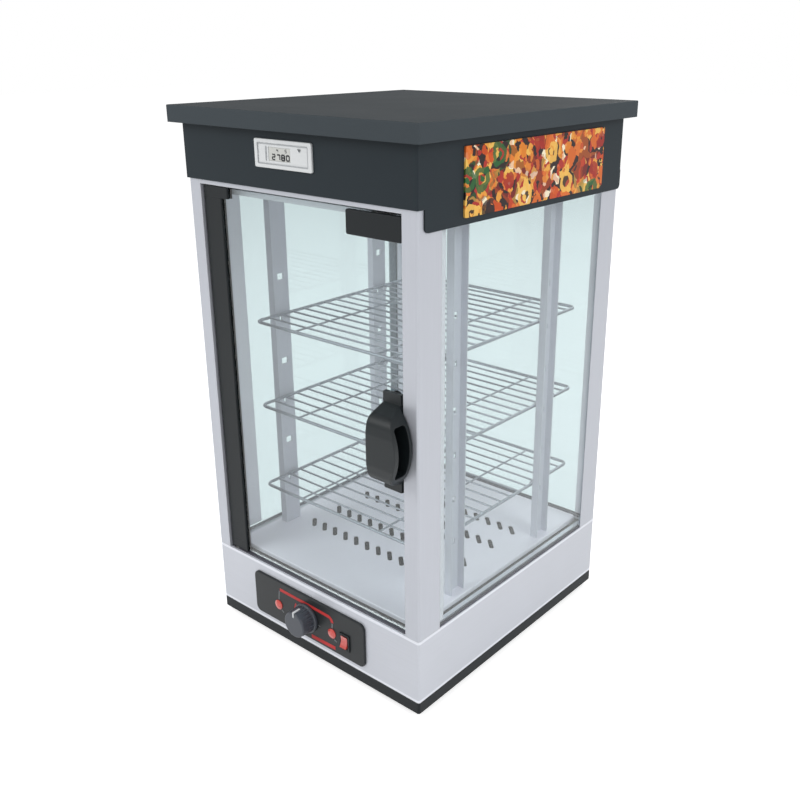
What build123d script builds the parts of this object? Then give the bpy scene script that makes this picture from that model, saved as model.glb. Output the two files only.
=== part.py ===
"""Countertop electric food warmer: a glazed cabinet on a heated base, under a light-box head.

Millimetres, +Z up, the door faces -Y.  The model is drawn round the middle of the
cabinet's footprint and moved by front_shift at export, so that the origin is the
bottom centre of the whole object, handle included.
"""
from build123d import *
import math
import os

# Cabinet, over the corner posts
cabinet_width = 350.0
cabinet_depth = 380.0
foot_height = 8.0
plinth_height = 15.0
base_height = 83.0
glazed_height = 483.0
head_height = 62.5
cap_height = 19.0
cap_overhang = 13.8
skirt_drop = 23.0
skirt_setback = 11.0

# Sheet metal and glass
sheet = 1.2
head_sheet = 2.0
corner_radius = 3.0
base_flange = 16.0
side_glass = 4.0
door_glass_thickness = 5.0
glass_gap = 0.5
pane_gap = 0.3

# Corner posts and glazing
post_front_flange = 20.0
post_side_flange = 37.0
post_return = 6.0
glass_lap = 14.0
bead_leg = 10.0
liner_width = 46.0
pane_foot = 2.0
seal_wall = 1.6
seal_height = 4.0
front_rail_height = 14.0
front_rail_show = 5.0
front_rail_depth = 22.0

# Floor, ceiling and shelf carriers
floor_rise = 6.0
floor_margin = 8.0
slot_length = 24.0
slot_width = 6.0
slot_pitch = 20.0
slot_columns = 12
slot_rows = (-76.0, -28.0, 30.0, 78.0)
upright_inset = 37.0
upright_width = 25.0
upright_depth = 10.0
upright_front_setback = 101.0
upright_rear_setback = 96.0
hole_first = 72.0
hole_pitch = 56.0
hole_count = 6
hole_width = 10.0
hole_height = 8.0
ceiling_lip = 18.0
lip_clearance = 1.5
hook_reach = 11.0
hook_width = 6.0
hook_thick = 2.0
hook_rise = 8.0
hook_grip = 6.0
hook_lip = 1.6
shelf_hole_step = 2

# Wire shelves
shelf_wire = 4.0
shelf_bar = 2.5
shelf_front_setback = 54.0
shelf_rear_gap = 6.0
shelf_corner = 9.0
shelf_bar_count = 15
shelf_side_gap = 2.5
shelf_seat_gap = 0.3

# Door
door_side_gap = 1.5
door_sill_gap = 3.0
sill_width = 12.0
door_head_gap = 1.5
door_setback = 3.0
stile_width = 31.0
stile_thick = 10.0
hinge_arm_height = 13.0
hinge_arm_length = 43.0
pin_radius = 3.0
pin_clearance = 0.05
pin_reach = 7.0
pin_inset = 8.0
bush_wall = 2.0
bush_lip = 1.2
block_width = 76.0
block_height = 26.0
block_thick = 4.0
block_drop = 2.0
handle_height = 112.0
handle_width = 42.0
handle_tab = 25.0
handle_reach = 32.0
handle_centre_z = 341.0
handle_tab_thick = 5.0
handle_post_gap = 1.5
handle_knee = 16.0
handle_bow = 3.0
handle_wall = 6.0
handle_back = 4.0
handle_edge_inset = 2.0
handle_tab_height = 13.0
handle_shoulder = 35.0
handle_screw_inset = 7.0

# Control panel
panel_width = 196.0
panel_height = 60.0
panel_thick = 3.0
panel_radius = 8.0
panel_centre_x = -6.0
panel_centre_z = 62.5
knob_radius = 18.0
knob_length = 22.0
knob_standoff = 0.8
shaft_radius = 3.0
shaft_clearance = 0.05
lamp_radius = 5.5
lens_dome = 2.2
lamp_left_x = -58.5
lamp_right_x = 38.0
lamp_z = 58.5
switch_x = 60.0
switch_z = 56.0
switch_width = 15.0
switch_height = 21.0
switch_depth = 18.0
rocker_gap = 0.5
rocker_tilt = 9.0

# Head
thermometer_x = -6.0
thermometer_z = 627.0
thermometer_width = 88.0
thermometer_height = 30.0
thermometer_depth = 12.0
lcd_width = 34.0
lcd_height = 14.0
lcd_offset_x = -5.0
picture_y = 11.0
picture_width = 266.0
picture_height = 70.0
picture_z = 608.0
picture_thick = 2.0
picture_lap = 6.0
lamp_tube_radius = 8.0
lamp_tube_length = 240.0
lamp_tube_inset = 40.0
lamp_tube_rise = 36.0
lamp_cap_length = 8.0
lamp_holder_width = 24.0
lamp_holder_height = 50.0
lamp_holder_thick = 12.0
probe_setback = 60.0
probe_radius = 2.0

# Heating and wiring in the base
element_radius = 4.0
element_bend = 22.0
element_legs = 4
element_z = 86.0
cold_end = 42.0
shield_z = 70.0
gland_x = 110.0
gland_z = 60.0
gland_radius = 8.0

# Feet and fasteners
foot_radius = 14.0
foot_inset = 26.0
screw_radius = 2.0
screw_head_radius = 3.6
screw_head_height = 1.6

# Levels and planes that follow from the sizes above
half_w = cabinet_width / 2
half_d = cabinet_depth / 2
plinth_z = foot_height
base_z = plinth_z + plinth_height
base_top = base_z + base_height
head_z = base_top + glazed_height
cap_z = head_z + head_height
skirt_z = head_z - skirt_drop
floor_z = base_top + floor_rise
post_sheet = sheet
pane_outer_x = half_w - post_sheet
pane_outer_y = half_d - post_sheet
upright_x = half_w - upright_inset
upright_front_y = -half_d + upright_front_setback
upright_rear_y = half_d - upright_rear_setback
rear_pane_outer_y = pane_outer_y - post_return - pane_gap
rear_pane_inner_y = rear_pane_outer_y - side_glass
shelf_half_x = upright_x - shelf_side_gap
shelf_front_y = -half_d + shelf_front_setback
shelf_rear_y = rear_pane_inner_y - shelf_rear_gap
front_rail_z = head_z - front_rail_show
ceiling_z = head_z + 1.0
door_half = half_w - post_front_flange - door_side_gap
door_bottom = base_top + door_sill_gap
door_top = front_rail_z - door_head_gap
door_front_y = -half_d + door_setback
door_mid_y = door_front_y + stile_thick / 2
hinge_x = -door_half + pin_inset
head_half_w = half_w + head_sheet
head_half_d = half_d + head_sheet
panel_front_y = -half_d - panel_thick
front_reach = max(half_d + cap_overhang, -door_front_y + handle_reach)
front_shift = (front_reach - (half_d + cap_overhang)) / 2


def block(x0, x1, y0, y1, z0, z1):
    """Box between two corners."""
    centre = ((x0 + x1) / 2, (y0 + y1) / 2, (z0 + z1) / 2)
    return Pos(*centre) * Box(x1 - x0, y1 - y0, z1 - z0)


def rod(start, end, radius):
    """Round bar between two points."""
    a, b = Vector(*start), Vector(*end)
    plane = Plane(origin=a, z_dir=b - a)
    return extrude(plane * Circle(radius), (b - a).length)


def slab(width, depth, z0, height, radius, x=0.0, y=0.0):
    """Upright prism on a rounded rectangle."""
    return Pos(x, y, z0) * extrude(RectangleRounded(width, depth, radius), height)


def facing_front(sketch, x, z, y, depth):
    """Sketch drawn as seen from the front, pushed back (+Y) from the plane y by depth."""
    plane = Plane(origin=(x, y, z), x_dir=(1, 0, 0), z_dir=(0, -1, 0))
    return extrude(plane * sketch, -depth)


def screw(x, y, z, direction, length):
    """Pan-head screw whose head stands on the point and whose shank runs against direction."""
    axis = Vector(*direction)
    plane = Plane(origin=(x, y, z), z_dir=axis)
    head = extrude(plane * Circle(screw_head_radius), screw_head_height)
    edge = head.edges().group_by(lambda e: (e.center() - Vector(x, y, z)).dot(axis))[-1]
    head = fillet(edge, screw_head_height * 0.6)
    shank = extrude(plane * Circle(screw_radius), -length)
    return head + shank


def mirror_x(shape):
    return mirror(shape, about=Plane.YZ)


# Base, plinth and feet

def feet():
    """Four tapered rubber feet under the plinth."""
    plane = Plane.XZ
    profile = plane * make_face(Polyline(
        (0, 0), (foot_radius - 3, 0), (foot_radius, foot_height - 2),
        (foot_radius, foot_height), (0, foot_height), close=True))
    foot = revolve(profile, Axis.Z)
    foot -= extrude(Circle(screw_head_radius + 0.6), foot_height / 2)
    foot -= extrude(Circle(screw_radius), foot_height)
    return [Pos(x, y, 0) * foot for x, y in foot_places()]


def foot_places():
    x, y = half_w - foot_inset, half_d - foot_inset
    return [(sx * x, sy * y) for sx in (-1, 1) for sy in (-1, 1)]


def foot_screws():
    return [screw(x, y, foot_height / 2, (0, 0, -1), foot_height / 2 + 6) for x, y in foot_places()]


def plinth_tray():
    """Black pressed tray that closes the base from below."""
    outer = slab(cabinet_width, cabinet_depth, plinth_z, plinth_height, corner_radius)
    inner = slab(cabinet_width - 4, cabinet_depth - 4, plinth_z + 2, plinth_height, corner_radius - 1)
    tray = outer - inner
    rim = slab(cabinet_width - 4 - 2 * glass_gap, cabinet_depth - 4 - 2 * glass_gap,
               plinth_z + 2, 2, corner_radius - 1)
    vents = [Pos(x, y, plinth_z) * extrude(SlotOverall(40, 5, rotation=90), 6)
             for x in range(-60, 61, 24) for y in (-60, 60)]
    tray = tray + rim
    holes = [Pos(x, y, plinth_z) * extrude(Circle(screw_radius), 6) for x, y in foot_places()]
    return tray - vents - holes


def base_shell():
    """Stainless skirt: four walls and a rim that carries floor, posts and glass."""
    wall = slab(cabinet_width, cabinet_depth, base_z, base_height, corner_radius)
    inside = slab(cabinet_width - 2 * sheet, cabinet_depth - 2 * sheet,
                  base_z, base_height - sheet, corner_radius - sheet)
    opening = slab(cabinet_width - 2 * base_flange, cabinet_depth - 2 * base_flange,
                   base_z, base_height, corner_radius)
    window = facing_front(RectangleRounded(panel_width - 20, panel_height - 20, 4),
                          panel_centre_x, panel_centre_z, -half_d - 1, sheet + 2)
    gland = rod((gland_x, half_d - 3, gland_z), (gland_x, half_d + 3, gland_z), gland_radius)
    shell = wall - inside - opening - window - gland
    for x in range(-60, 61, 15):
        louvre = block(x - 2, x + 2, half_d - 3, half_d + 3, base_z + 22, base_z + 52)
        shell -= louvre
    bush = bush_radius()
    shell -= rod((hinge_x, door_mid_y, base_top - 4), (hinge_x, door_mid_y, base_top + 2), bush)
    for x, z in skirt_screw_places():
        shell -= rod((x, half_d - 3, z), (x, half_d + 1, z), screw_radius)
    return shell


def floor_plate():
    """Slotted floor pan that drops on the base rim, its edge turned down all round."""
    width = cabinet_width - 2 * floor_margin - 2 * 12
    depth = cabinet_depth - 2 * floor_margin - 2 * 12
    pan = slab(width, depth, base_top, floor_rise, 6)
    hollow = slab(width - 2 * sheet, depth - 2 * sheet, base_top, floor_rise - sheet, 6 - sheet)
    pan = fillet(pan.edges().group_by(Axis.Z)[-1], 1.0) - hollow
    cutters = []
    first = -(slot_columns - 1) * slot_pitch / 2
    for y in slot_rows:
        for i in range(slot_columns):
            cutters.append(Pos(first + i * slot_pitch, y, base_top - 1)
                           * extrude(SlotOverall(slot_length, slot_width, rotation=-45), floor_rise + 2))
    return pan - cutters


# Corner posts, rails and glass

def post(sx, sy):
    """Folded angle: wide leg on the side, narrow leg with a return on the front or back."""
    w, d = half_w, half_d
    t = post_sheet
    f, s, r = post_front_flange, post_side_flange, post_return
    outline = Polyline((w, d), (w, d - s), (w - t, d - s), (w - t, d - t),
                       (w - f + t, d - t), (w - f + t, d - r), (w - f, d - r), (w - f, d), close=True)
    profile = make_face(outline)
    profile = fillet(profile.vertices().group_by(lambda v: v.X + v.Y)[-1], corner_radius)
    height = cap_z - base_top
    solid = Pos(0, 0, base_top) * extrude(profile, height)
    if sx < 0:
        solid = mirror(solid, about=Plane.YZ)
    if sy < 0:
        solid = mirror(solid, about=Plane.XZ)
    return solid


def front_rail():
    """Bright head rail over the door, between the front posts."""
    x = half_w - post_front_flange
    y = -half_d
    z = front_rail_z
    t = sheet
    profile = Plane.YZ * make_face(Polyline(
        (y, z), (y + front_rail_depth, z), (y + front_rail_depth, z + t), (y + t, z + t),
        (y + t, z + front_rail_height), (y, z + front_rail_height), close=True))
    rail = Pos(-x, 0, 0) * extrude(profile, 2 * x)
    rail -= rod((hinge_x, door_mid_y, z - 1), (hinge_x, door_mid_y, z + t + 1), bush_radius())
    return rail


def pane_top():
    return ceiling_z + 8.0


def side_pane(sign):
    y = half_d - post_side_flange + glass_lap
    x0 = pane_outer_x - side_glass
    pane = block(x0, pane_outer_x, -y, y, base_top + pane_foot, pane_top())
    pane = chamfer(pane.edges().filter_by(Axis.Z), 0.5)
    return pane if sign > 0 else mirror_x(pane)


def rear_pane():
    x = half_w - post_front_flange + bead_leg
    pane = block(-x, x, rear_pane_inner_y, rear_pane_outer_y, base_top + pane_foot, pane_top())
    return chamfer(pane.edges().filter_by(Axis.Z), 0.5)


def glass_seals():
    """Dark U-shaped gaskets between the base rim and the three fixed panes."""
    y = half_d - post_side_flange
    x0 = pane_outer_x - side_glass
    top = base_top + seal_height
    side = block(x0 - seal_wall, pane_outer_x, -y, y, base_top, top)
    side -= block(x0, pane_outer_x, -y - 1, y + 1, base_top + pane_foot, top + 1)
    xr = half_w - post_front_flange - glass_gap
    rear = block(-xr, xr, rear_pane_inner_y - seal_wall, rear_pane_outer_y + seal_wall, base_top, top)
    rear -= block(-xr - 1, xr + 1, rear_pane_inner_y, rear_pane_outer_y, base_top + pane_foot, top + 1)
    return [side, mirror_x(side), rear]


def glazing_beads():
    """Angle strips that hold the panes against the posts; the front ones line the side panes further in."""
    x = pane_outer_x - side_glass
    y = half_d - post_side_flange + glass_lap
    t = sheet
    z0, z1 = floor_z + 0.5, front_rail_z - 2
    near = block(x - bead_leg, x, -y - t, -y, z0, z1) + block(x - t, x, -y, -y + liner_width, z0, z1)
    yr = rear_pane_inner_y
    xr = half_w - post_front_flange + bead_leg
    far = block(x - t, x, yr - t - bead_leg, yr - t, z0, z1)
    far += block(xr - bead_leg - 6, x, yr - t, yr, z0, z1)
    return [near, mirror_x(near), far, mirror_x(far)]


def door_sill():
    """Dark strip on the base rim under the door."""
    x = half_w - post_front_flange - glass_gap
    y = -half_d + corner_radius
    sill = block(-x, x, y, y + sill_width, base_top, base_top + sheet)
    sill -= rod((hinge_x, door_mid_y, base_top - 1), (hinge_x, door_mid_y, base_top + 3), bush_radius())
    return sill


# Shelf carriers

def hole_z(i):
    return base_top + hole_first + i * hole_pitch


def upright(sx, y):
    """Folded channel with a column of oblong holes, its open side to the glass."""
    w, d, t = upright_width, upright_depth, sheet
    z0, z1 = floor_z, ceiling_z
    x = upright_x
    channel = block(x, x + d, y - w / 2, y + w / 2, z0, z1)
    channel -= block(x + t, x + d + 1, y - w / 2 + t, y + w / 2 - t, z0 - 1, z1 + 1)
    for i in range(hole_count):
        z = hole_z(i)
        channel -= block(x - 1, x + t + 1, y - hole_width / 2, y + hole_width / 2,
                         z - hole_height / 2, z + hole_height / 2)
    return channel if sx > 0 else mirror_x(channel)


def hook(sx, y, i):
    """Bent strip: it grips behind the hole's lower edge, rises along the upright and ends in a lipped ledge."""
    x, t = upright_x, hook_thick
    y0, y1 = y - hook_width / 2, y + hook_width / 2
    low = hole_z(i) - hole_height / 2
    ledge = low + hook_rise
    piece = block(x - t, x + sheet + t, y0, y1, low, low + t)
    piece += block(x + sheet, x + sheet + t, y0, y1, low - hook_grip, low + t)
    piece += block(x - t, x, y0, y1, low, ledge + t)
    piece += block(x - hook_reach, x, y0, y1, ledge, ledge + t)
    piece += block(x - hook_reach, x - hook_reach + t, y0, y1, ledge, ledge + t + hook_lip)
    return piece if sx > 0 else mirror_x(piece)


def shelf_levels():
    """Hole number that each shelf hangs in, from the lowest shelf to the highest."""
    return [shelf_hole_step * i for i in range(3)]


def shelf_hooks():
    hooks = []
    for i in shelf_levels():
        for sx in (-1, 1):
            for y in (upright_front_y, upright_rear_y):
                hooks.append(hook(sx, y, i))
    return hooks


def shelf_axis_z(i):
    """Height of a shelf's frame wire when it rests on its hooks."""
    return hole_z(i) - hole_height / 2 + hook_rise + hook_thick + shelf_seat_gap + shelf_wire / 2


def wire_shelf(i):
    """Frame of round wire with welded cross wires, all in one plane."""
    z = shelf_axis_z(i)
    x = shelf_half_x - shelf_wire / 2
    y0, y1 = shelf_front_y, shelf_rear_y
    yc = (y0 + y1) / 2
    path = Pos(0, yc, z) * RectangleRounded(2 * x, y1 - y0, shelf_corner)
    path = path.wires()[0]
    start = Plane(origin=path @ 0, z_dir=path % 0)
    frame = sweep(start * Circle(shelf_wire / 2), path=path)
    top = shelf_wire / 2 - shelf_bar / 2
    bars = []
    step = (y1 - y0) / (shelf_bar_count + 1)
    for k in range(shelf_bar_count):
        y = y0 + (k + 1) * step
        bars.append(rod((-x, y, z + top), (x, y, z + top), shelf_bar / 2))
    for bx in (-x / 2, x / 2):
        under = z - shelf_wire / 2 + shelf_bar / 2
        bars.append(rod((bx, y0, under), (bx, y1, under), shelf_bar / 2))
    return frame + bars


# Door, turning with its stile on two pivot pins

def glass_front_y():
    return door_mid_y - door_glass_thickness / 2


def door_glass():
    y = glass_front_y()
    x0 = -door_half + 3
    pane = block(x0, door_half, y, y + door_glass_thickness, door_bottom + 1, door_top - 1)
    right = pane.edges().filter_by(Axis.Y).group_by(Axis.X)[-1]
    pane = fillet(right, 4)
    hole_x = handle_screw_x()
    for z in handle_screw_z():
        pane -= rod((hole_x, y - 1, z), (hole_x, y + door_glass_thickness + 1, z), screw_radius + 0.5)
    bx = block_screw_x()
    for x in bx:
        z = block_centre_z()
        pane -= rod((x, y - 1, z), (x, y + door_glass_thickness + 1, z), screw_radius + 0.5)
    return pane


def door_stile():
    """Black hinge-side profile, a deep U that holds the glass edge."""
    y0, y1 = door_mid_y - stile_thick / 2, door_mid_y + stile_thick / 2
    z0 = door_bottom + hinge_arm_height
    z1 = door_top - hinge_arm_height
    x0, x1 = -door_half, -door_half + stile_width
    bar = block(x0, x1, y0, y1, z0, z1)
    bar = fillet(bar.edges().filter_by(Axis.Z), 1.5)
    return bar - glass_slot(x1 + 1, z0 - 1, z1 + 1)


def glass_slot(x1, z0, z1):
    y = glass_front_y()
    return block(-door_half + 3, x1, y, y + door_glass_thickness, z0, z1)


def hinge_arm(top):
    """Pivot clamp at an end of the stile; the upper one runs further along the glass."""
    y0, y1 = door_mid_y - stile_thick / 2, door_mid_y + stile_thick / 2
    x0 = -door_half
    x1 = x0 + (hinge_arm_length if top else stile_width)
    if top:
        z0, z1 = door_top - hinge_arm_height, door_top
        slot = glass_slot(x1 + 1, z0 - 1, door_top - 1)
        bore = rod((hinge_x, door_mid_y, z1 - 0.99), (hinge_x, door_mid_y, z1 + 1), pin_radius)
    else:
        z0, z1 = door_bottom, door_bottom + hinge_arm_height
        slot = glass_slot(x1 + 1, door_bottom + 1, z1 + 1)
        bore = rod((hinge_x, door_mid_y, z0 - 1), (hinge_x, door_mid_y, z0 + 0.99), pin_radius)
    arm = block(x0, x1, y0, y1, z0, z1)
    arm = fillet(arm.edges().filter_by(Axis.Z), 1.5)
    return arm - slot - bore


def hinge_pins():
    """Steel pins that stand out of the clamps into the bushes."""
    upper = rod((hinge_x, door_mid_y, door_top - 0.99), (hinge_x, door_mid_y, door_top + pin_reach), pin_radius)
    lower = rod((hinge_x, door_mid_y, door_bottom + 0.99),
                (hinge_x, door_mid_y, door_bottom - pin_reach), pin_radius)
    return [upper, lower]


def bush_radius():
    return pin_radius + pin_clearance + bush_wall


def hinge_bushes():
    """Flanged nylon bushes in the head rail and in the base rim."""
    def bush(z, up):
        span = 6.0
        body = rod((hinge_x, door_mid_y, z), (hinge_x, door_mid_y, z + up * span), bush_radius())
        lip = rod((hinge_x, door_mid_y, z + up * sheet),
                  (hinge_x, door_mid_y, z + up * (sheet + 1.5)), bush_radius() + bush_lip)
        bore = rod((hinge_x, door_mid_y, z - up), (hinge_x, door_mid_y, z + up * (span + 1)),
                   pin_radius + pin_clearance)
        return body + lip - bore
    return [bush(front_rail_z, 1), bush(base_top, -1)]


def block_centre_z():
    return door_top - block_drop - block_height / 2


def block_screw_x():
    middle = door_half - block_width / 2
    return (middle - block_width / 3, middle + block_width / 3)


def corner_block():
    """Black moulded catch block over the door's upper free corner, on the front of the glass."""
    front = glass_front_y()
    cover = facing_front(RectangleRounded(block_width, block_height, 2.5),
                         door_half - block_width / 2, block_centre_z(), front - block_thick, block_thick)
    edge = cover.edges().group_by(Axis.Y)[0]
    cover = fillet(edge, 1.2)
    for x in block_screw_x():
        z = block_centre_z()
        cover -= rod((x, front - 1.5, z), (x, front + 1, z), screw_radius)
    return cover


def catch_keeper():
    """Steel plate behind the glass that the magnet pulls on."""
    y = glass_front_y() + door_glass_thickness
    plate = block(door_half - block_width + 10, door_half - 10, y, y + 2,
                  block_centre_z() - 8, block_centre_z() + 8)
    plate = fillet(plate.edges().filter_by(Axis.Y), 2)
    for x in block_screw_x():
        plate -= rod((x, y - 1, block_centre_z()), (x, y + 4, block_centre_z()), screw_radius)
    return plate


def block_screws():
    y = glass_front_y() + door_glass_thickness + 2
    return [screw(x, y, block_centre_z(), (0, 1, 0), 2 + door_glass_thickness + 1.5)
            for x in block_screw_x()]


def magnet_catch():
    """Magnet housing hung from the head rail, just behind the keeper."""
    y = glass_front_y() + door_glass_thickness + 2 + screw_head_height + 0.8
    width = block_width / 3
    middle = door_half - block_width / 2
    body = block(middle - width / 2, middle + width / 2, y, y + 10, block_centre_z() - 8, front_rail_z)
    return fillet(body.edges().filter_by(Axis.Z), 1.5)


def handle_left_x():
    return door_half - handle_tab - handle_edge_inset


def handle_screw_x():
    return handle_left_x() + handle_tab / 2


def handle_screw_z():
    reach = handle_height / 2 - handle_screw_inset
    return (handle_centre_z - reach, handle_centre_z + reach)


def handle_face():
    """Front outline of the handle: straight on the glass side, an arc past the door's edge, two tabs."""
    x0 = handle_left_x()
    xt, xb = x0 + handle_tab, x0 + handle_width
    h = handle_height / 2
    n = h - handle_tab_height
    return make_face([
        Line((x0, -h), (xt, -h)), Line((xt, -h), (xt, -n)),
        ThreePointArc((xt, -n), (xb, 0), (xt, n)),
        Line((xt, n), (xt, h)), Line((xt, h), (x0, h)), Line((x0, h), (x0, -h))])


def handle_side():
    """Side profile of the bow, with rounded shoulders and a slightly crowned front."""
    front = glass_front_y()
    h = handle_height / 2
    n = h - handle_tab_height
    tab_y, crown_y = front - handle_tab_thick, front - handle_lift()
    knee_y, knee, crown = crown_y + handle_bow, handle_shoulder, handle_shoulder / 2
    side = make_face(Polyline(
        (front, -h), (tab_y, -h), (tab_y, -n - 2), (knee_y, -knee), (crown_y, -crown),
        (crown_y, crown), (knee_y, knee), (tab_y, n + 2), (tab_y, h), (front, h), close=True))
    bends = side.vertices().filter_by(lambda v: v.X < tab_y - 1)
    return fillet(bends, handle_knee)


def door_handle():
    """Moulded bow pull: it stands off the glass, bulges past the door's edge and holds a finger pocket."""
    front = glass_front_y()
    x0 = handle_left_x()
    xb = x0 + handle_width
    h = handle_height / 2
    plate = extrude(Plane(origin=(0, front, handle_centre_z), x_dir=(1, 0, 0), z_dir=(0, -1, 0))
                    * handle_face(), handle_lift() + 1)
    bow = Pos(x0 - 1, 0, handle_centre_z) * extrude(Plane.YZ * handle_side(), handle_width + 4)
    grip = plate & bow
    left = grip.edges().filter_by(
        lambda e: abs(e.center().X - x0) < 0.01 and e.center().Y < front - handle_tab_thick - 0.5)
    grip = fillet(left, 2.5)
    pocket_top = handle_shoulder - handle_wall
    pocket = block(x0 + handle_wall + 2, xb + 2, front - handle_lift() + handle_wall,
                   -half_d - handle_post_gap - handle_back,
                   handle_centre_z - pocket_top, handle_centre_z + pocket_top)
    grip -= fillet(pocket.edges().filter_by(Axis.X), 4)
    grip -= block(door_half - 1, xb + 1, -half_d - handle_post_gap, front + 1,
                  handle_centre_z - h - 1, handle_centre_z + h + 1)
    for z in handle_screw_z():
        x = handle_screw_x()
        grip -= rod((x, front - 4, z), (x, front + 1, z), screw_radius)
    return grip


def handle_lift():
    """How far the bow stands off the glass."""
    return handle_reach + (glass_front_y() - door_front_y)


def handle_backing():
    """Two washers' worth of black pad behind the glass, under the handle screws."""
    y = glass_front_y() + door_glass_thickness
    pads = []
    for z in handle_screw_z():
        pad = rod((handle_screw_x(), y, z), (handle_screw_x(), y + 2, z), 7)
        pads.append(pad - rod((handle_screw_x(), y - 1, z), (handle_screw_x(), y + 3, z), screw_radius))
    return pads


def handle_screws():
    y = glass_front_y() + door_glass_thickness + 2
    return [screw(handle_screw_x(), y, z, (0, 1, 0), 2 + door_glass_thickness + 4) for z in handle_screw_z()]


# Control panel and what is fixed to it

def control_panel():
    """Moulded black fascia with a raised back frame that snaps into the base's window."""
    plate = facing_front(RectangleRounded(panel_width, panel_height, panel_radius),
                         panel_centre_x, panel_centre_z, panel_front_y, panel_thick)
    plate = fillet(plate.edges().group_by(Axis.Y)[0], 1.0)
    holes = rod((panel_centre_x, panel_front_y - 1, panel_centre_z),
                (panel_centre_x, -half_d + 1, panel_centre_z), shaft_radius + 1.0)
    for x in (lamp_left_x, lamp_right_x):
        holes += rod((x, panel_front_y - 1, lamp_z), (x, -half_d + 1, lamp_z), lamp_radius)
    holes += facing_front(Rectangle(switch_width - 2, switch_height - 2), switch_x, switch_z,
                          panel_front_y - 1, panel_thick + 2)
    return plate - holes


def knob_centre():
    return panel_centre_x, panel_centre_z


def thermostat_body():
    """Capillary thermostat: square can, mounting bush and tail terminals."""
    x, z = knob_centre()
    y = -half_d + sheet + 3
    can = block(x - 17, x + 17, y, y + 26, z - 17, z + 17)
    can = fillet(can.edges().filter_by(Axis.Y), 3)
    neck = rod((x, panel_front_y + 0.5, z), (x, y, z), shaft_radius + 1.0)
    bore = rod((x, panel_front_y, z), (x, y + 12, z), shaft_radius + shaft_clearance)
    bridge = block(x - 30, x + 30, -half_d, y, z - 6, z + 6)
    bridge -= block(x - 24, x + 24, -half_d - 1, y - 1.5, z - 7, z + 7)
    tails = block(x - 12, x - 6, y + 26, y + 34, z - 1, z + 1) + block(x + 6, x + 12, y + 26, y + 34, z - 1, z + 1)
    return can + bridge + neck + tails - bore


def thermostat_shaft():
    x, z = knob_centre()
    y = -half_d + sheet + 3
    front = panel_front_y - knob_standoff - knob_length + 6
    shaft = rod((x, front, z), (x, y + 11, z), shaft_radius)
    flat = block(x - 5, x + 5, front - 1, panel_front_y - knob_standoff, z + shaft_radius - 1, z + 6)
    return shaft - flat


def thermostat_knob():
    """Round knob with a skirt, a slightly tapered grip and a D-shaped hole."""
    x, z = knob_centre()
    back = panel_front_y - knob_standoff
    front = back - knob_length
    plane = Plane(origin=(x, 0, z), x_dir=(1, 0, 0), z_dir=(0, -1, 0))
    r = knob_radius
    profile = Plane(origin=(x, 0, z), x_dir=(1, 0, 0), z_dir=(0, 0, 1)) * make_face([
        Line((0, back), (r + 1.5, back)), Line((r + 1.5, back), (r + 1.5, back - 3)),
        Line((r + 1.5, back - 3), (r, back - 4)), Line((r, back - 4), (r - 1, front + 2)),
        ThreePointArc((r - 1, front + 2), (r - 1.6, front + 0.6), (r - 3, front)),
        Line((r - 3, front), (0, front)), Line((0, front), (0, back))])
    knob = revolve(profile, Axis((x, 0, z), (0, 1, 0)))
    flute = Circle(1.6)
    for k in range(24):
        a = math.radians(360 * k / 24 + 7.5)
        at = plane * Pos((r + 0.7) * math.cos(a), (r + 0.7) * math.sin(a), -back + 4.2)
        knob -= at * extrude(flute, knob_length)
    hole = rod((x, front + 6, z), (x, back + 1, z), shaft_radius)
    flat = block(x - 5, x + 5, front + 5, back + 1, z + shaft_radius - 1, z + 6)
    return knob - (hole - flat)


def lamp_lenses():
    """Red domed lenses of the two signal lamps."""
    lenses = []
    for x in (lamp_left_x, lamp_right_x):
        y = panel_front_y
        r = lamp_radius
        ball = ((r + 1) ** 2 + lens_dome ** 2) / (2 * lens_dome)
        turn = math.asin((r + 1) / ball) / 2
        dome_mid = (ball * math.sin(turn), y - 1 - lens_dome + ball * (1 - math.cos(turn)))
        profile = Plane(origin=(x, 0, lamp_z), x_dir=(1, 0, 0), z_dir=(0, 0, 1)) * make_face([
            Line((0, -half_d), (r, -half_d)), Line((r, -half_d), (r, y)), Line((r, y), (r + 1, y)),
            Line((r + 1, y), (r + 1, y - 1)), ThreePointArc((r + 1, y - 1), dome_mid, (0, y - 1 - lens_dome)),
            Line((0, y - 1 - lens_dome), (0, -half_d))])
        lenses.append(revolve(profile, Axis((x, 0, lamp_z), (0, 1, 0))))
    return lenses


def lamp_bodies():
    """Snap-in bodies behind the lenses, each with two tails."""
    bodies = []
    for x in (lamp_left_x, lamp_right_x):
        body = rod((x, -half_d, lamp_z), (x, -half_d + 16, lamp_z), lamp_radius)
        for dx in (-2.5, 2.5):
            body += block(x + dx - 0.4, x + dx + 0.4, -half_d + 16, -half_d + 24, lamp_z - 2, lamp_z + 2)
        bodies.append(body)
    return bodies


def rocker_axis_y():
    return panel_front_y + 3.0


def switch_housing():
    """Rocker switch body with its bezel on the panel."""
    w, h = switch_width, switch_height
    bezel = facing_front(RectangleRounded(w + 2, h + 2, 1.5), switch_x, switch_z, panel_front_y - 1.5, 1.5)
    body = facing_front(Rectangle(w - 2, h - 2), switch_x, switch_z, panel_front_y, switch_depth)
    well = facing_front(Rectangle(w - 4, h - 4), switch_x, switch_z, panel_front_y - 2, 13)
    bore = rod((switch_x - w / 2, rocker_axis_y(), switch_z), (switch_x + w / 2, rocker_axis_y(), switch_z), 1.05)
    tails = [block(switch_x - 3, switch_x + 3, panel_front_y + switch_depth, panel_front_y + switch_depth + 8,
                   switch_z + dz - 0.4, switch_z + dz + 0.4) for dz in (-6, 6)]
    housing = bezel + body - well - bore
    for tail in tails:
        housing += tail
    return housing


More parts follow.
